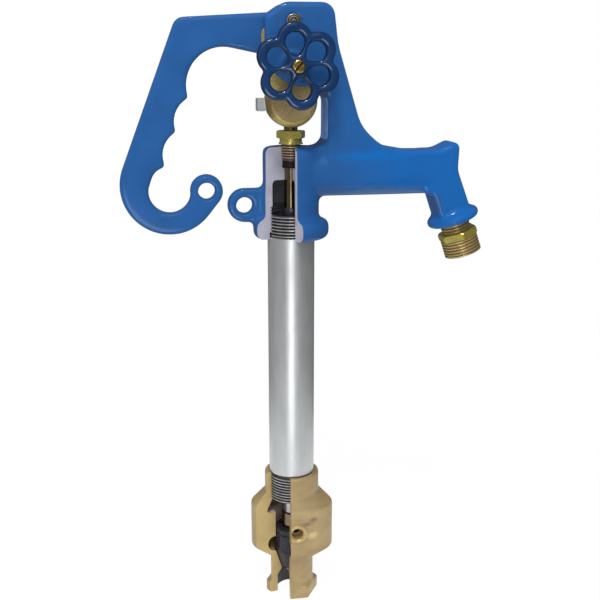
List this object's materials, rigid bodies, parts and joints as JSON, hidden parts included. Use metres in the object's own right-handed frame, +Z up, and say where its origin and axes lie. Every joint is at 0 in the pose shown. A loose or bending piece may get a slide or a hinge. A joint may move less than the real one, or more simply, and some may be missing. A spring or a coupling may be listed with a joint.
{
  "type": "yard hydrant",
  "caption": "Frost-free yard hydrant with lift lever, flow wheel and hose spout on a short standpipe, cut open at the front to show the stem, rod, seat and plunger.",
  "frame": {"origin": "centre of the inlet's bottom face, on the standpipe's axis", "axes": "+X towards the spout, -Y the front with the windows and the flow wheel, +Z up along the standpipe"},
  "size_m": [0.2581, 0.066, 0.4382],
  "materials": {
    "blue_paint": "gloss enamel on cast iron",
    "navy_paint": "gloss enamel",
    "galvanized": "zinc coated, satin",
    "brass": "machined and cast brass, satin",
    "zinc": "zinc plated, satin",
    "black_rubber": "satin"
  },
  "bodies": {
    "base": {"head_casting": "blue_paint", "standpipe": "galvanized", "valve_body": "brass", "fulcrum_pin": "zinc", "fulcrum_clip": "zinc", "thrust_washer_front": "brass", "thrust_washer_back": "brass", "packing_nut": "brass", "packing_ring": "black_rubber", "gland_follower": "brass", "hose_nozzle": "brass"},
    "lever_arm": {"lever": "blue_paint", "drive_pin": "zinc"},
    "rod": {"rod_connector": "brass", "set_screw": "zinc", "stem": "brass", "operating_rod": "zinc", "plunger_stem": "brass", "plunger_guide": "black_rubber", "plunger": "black_rubber"},
    "wheel": {"flow_wheel": "navy_paint", "wheel_spindle": "zinc", "wheel_screw": "brass"}
  },
  "joints": [
    {"name": "lever_hinge", "type": "hinge", "parent": "base", "child": "lever_arm", "pos_m": [0, 0, 0.4256], "axis": [0, 1, 0], "range_deg": [0, 75]},
    {"name": "rod_slide", "type": "slide", "parent": "base", "child": "rod", "axis": [0, 0, 1], "range_m": [0, 0.01826]},
    {"name": "wheel_turn", "type": "hinge", "parent": "base", "child": "wheel", "pos_m": [0, -0.033, 0.3971], "axis": [0, -1, 0], "range_deg": [0, 360]}
  ],
  "couplings": [
    {"joint": "rod_slide", "follows": "lever_hinge", "m_per_rad": 0.013952}
  ]
}
